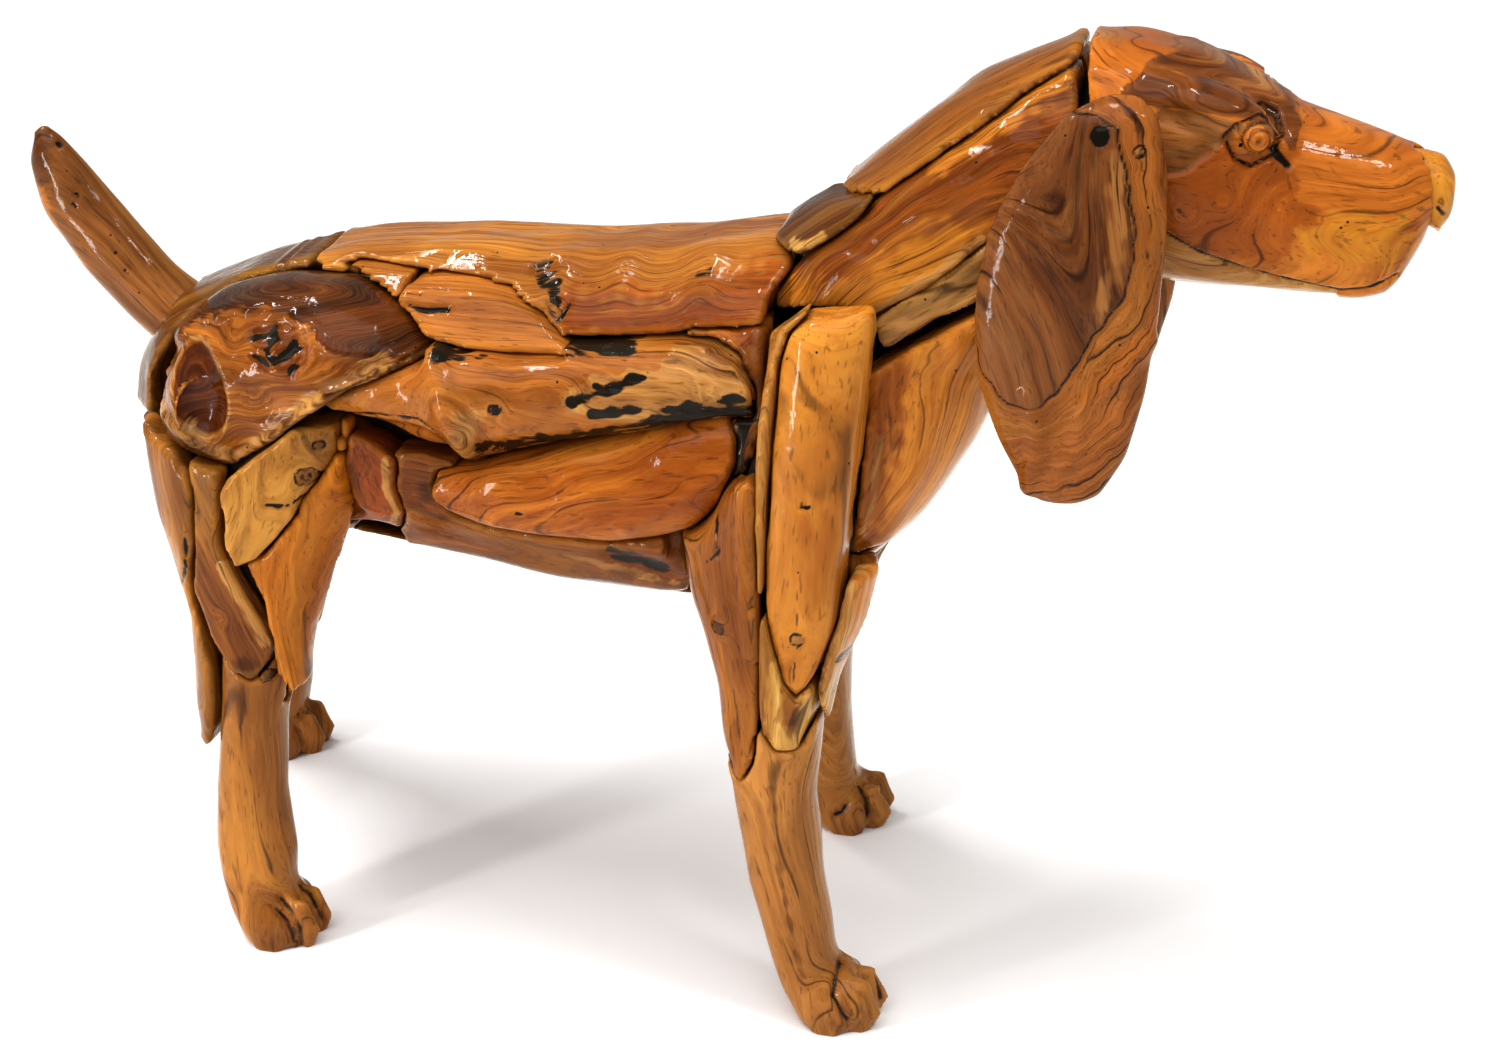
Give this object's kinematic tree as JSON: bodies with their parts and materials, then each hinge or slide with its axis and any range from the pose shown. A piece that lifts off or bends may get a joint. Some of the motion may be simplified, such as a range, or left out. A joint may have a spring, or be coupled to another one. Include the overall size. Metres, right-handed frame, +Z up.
{
  "type": "teak root dog statue",
  "caption": "Life-size standing hound assembled from lacquered teak root slabs with open joints, hanging ears, a raised tail and flat-cut paws.",
  "frame": {"origin": "on the floor under the centre of the bounding box", "axes": "+X from tail to nose, +Y to the dog's left, +Z up"},
  "size_m": [1.1906, 0.396, 0.8359],
  "materials": {
    "orange_teak": "clear gloss lacquer over orange-brown heartwood with dark figure",
    "amber_teak": "clear gloss lacquer over amber-brown teak",
    "heartwood_red": "clear gloss lacquer over red-brown heartwood",
    "dark_teak": "clear gloss lacquer over dark brown teak",
    "pale_teak": "clear gloss lacquer over pale, partly rough sapwood",
    "golden_teak": "clear gloss lacquer over golden-yellow wood",
    "inner_teak": "dark stained wood, rough, seen only down the open joints"
  },
  "bodies": {
    "root": {"hip_burl_right": "heartwood_red", "flank_leaf_right": "amber_teak", "back_strip_right": "dark_teak", "flank_upper_right": "orange_teak", "flank_lower_right": "orange_teak", "shoulder_tusk_right": "amber_teak", "shoulder_strip_right": "pale_teak", "thigh_patch_right": "pale_teak", "thigh_mid_right": "dark_teak", "thigh_rear_right": "orange_teak", "thigh_front_right": "amber_teak", "foreleg_rear_right": "orange_teak", "foreleg_front_right": "orange_teak", "withers_chip_right": "dark_teak", "neck_slab_right": "orange_teak", "neck_bark_right": "pale_teak", "chest_slab_right": "amber_teak", "flank_block_right": "heartwood_red", "rib_block_right": "heartwood_red", "belly_slab_right": "orange_teak", "foreleg_inner_right": "orange_teak", "thigh_inner_right": "amber_teak", "fore_foot_right": "orange_teak", "hind_foot_right": "amber_teak", "foreleg_core_right": "inner_teak", "thigh_core_right": "inner_teak", "hip_burl_left": "heartwood_red", "flank_leaf_left": "amber_teak", "flank_upper_left": "orange_teak", "flank_lower_left": "orange_teak", "shoulder_tusk_left": "amber_teak", "thigh_rear_left": "orange_teak", "thigh_front_left": "amber_teak", "foreleg_rear_left": "orange_teak", "foreleg_front_left": "orange_teak", "neck_slab_left": "orange_teak", "chest_slab_left": "amber_teak", "belly_slab_left": "orange_teak", "foreleg_inner_left": "orange_teak", "thigh_inner_left": "amber_teak", "fore_foot_left": "orange_teak", "hind_foot_left": "amber_teak", "foreleg_core_left": "inner_teak", "thigh_core_left": "inner_teak", "back_slab": "orange_teak", "rump_band": "amber_teak", "nape_slab": "amber_teak", "throat_slab": "amber_teak", "belly_keel": "orange_teak", "groin_block": "dark_teak", "body_core": "inner_teak", "neck_core": "inner_teak", "tail": "dark_teak", "head": "orange_teak", "nose": "golden_teak", "ear_right": "dark_teak", "ear_left": "dark_teak"}
  },
  "joints": []
}
